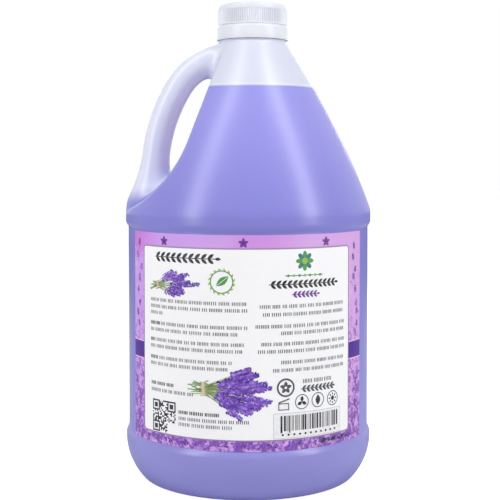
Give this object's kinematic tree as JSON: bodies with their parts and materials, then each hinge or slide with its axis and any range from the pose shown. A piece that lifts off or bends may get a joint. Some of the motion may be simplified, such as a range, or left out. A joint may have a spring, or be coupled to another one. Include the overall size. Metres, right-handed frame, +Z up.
{
  "type": "gallon oil bottle",
  "caption": "Round one-gallon jug with a hollow side handle, filled with lavender oil, with a wrap label and a ribbed screw cap on a tamper band.",
  "frame": {"origin": "centre of the standing ring on the body's axis, on the surface that the jug stands on", "axes": "+Z up, -X towards the handle, -Y towards the label; the neck's axis is 2.8 mm towards +X of the body's axis"},
  "size_m": [0.156, 0.156, 0.299],
  "materials": {
    "jug_wall": "satin translucent polyethylene",
    "oil": "lavender liquid",
    "label_stock": "semi-gloss printed film",
    "closure": "satin white polypropylene",
    "liner_foam": "foamed polyethylene"
  },
  "bodies": {
    "bottle": {"bottle": "jug_wall", "oil_fill": "oil", "label": "label_stock"},
    "tamper_ring": {"tamper_ring": "closure"},
    "cap_liner": {"cap_liner": "liner_foam"},
    "cap": {"cap": "closure"}
  },
  "joints": [
    {"name": "cap_lift", "type": "slide", "parent": "bottle", "child": "cap_liner", "axis": [0, 0, 1], "range_m": [0, 0.0128]},
    {"name": "cap_turn", "type": "hinge", "parent": "cap_liner", "child": "cap", "pos_m": [0.0028, 0, 0.2925], "axis": [0, 0, 1], "range_deg": [0, 1080]},
    {"name": "ring_spin", "type": "hinge", "parent": "bottle", "child": "tamper_ring", "pos_m": [0.0028, 0, 0.2805], "axis": [0, 0, 1], "continuous": true}
  ],
  "couplings": [
    {"joint": "cap_lift", "follows": "cap_turn", "m_per_rad": 0.00067376}
  ]
}
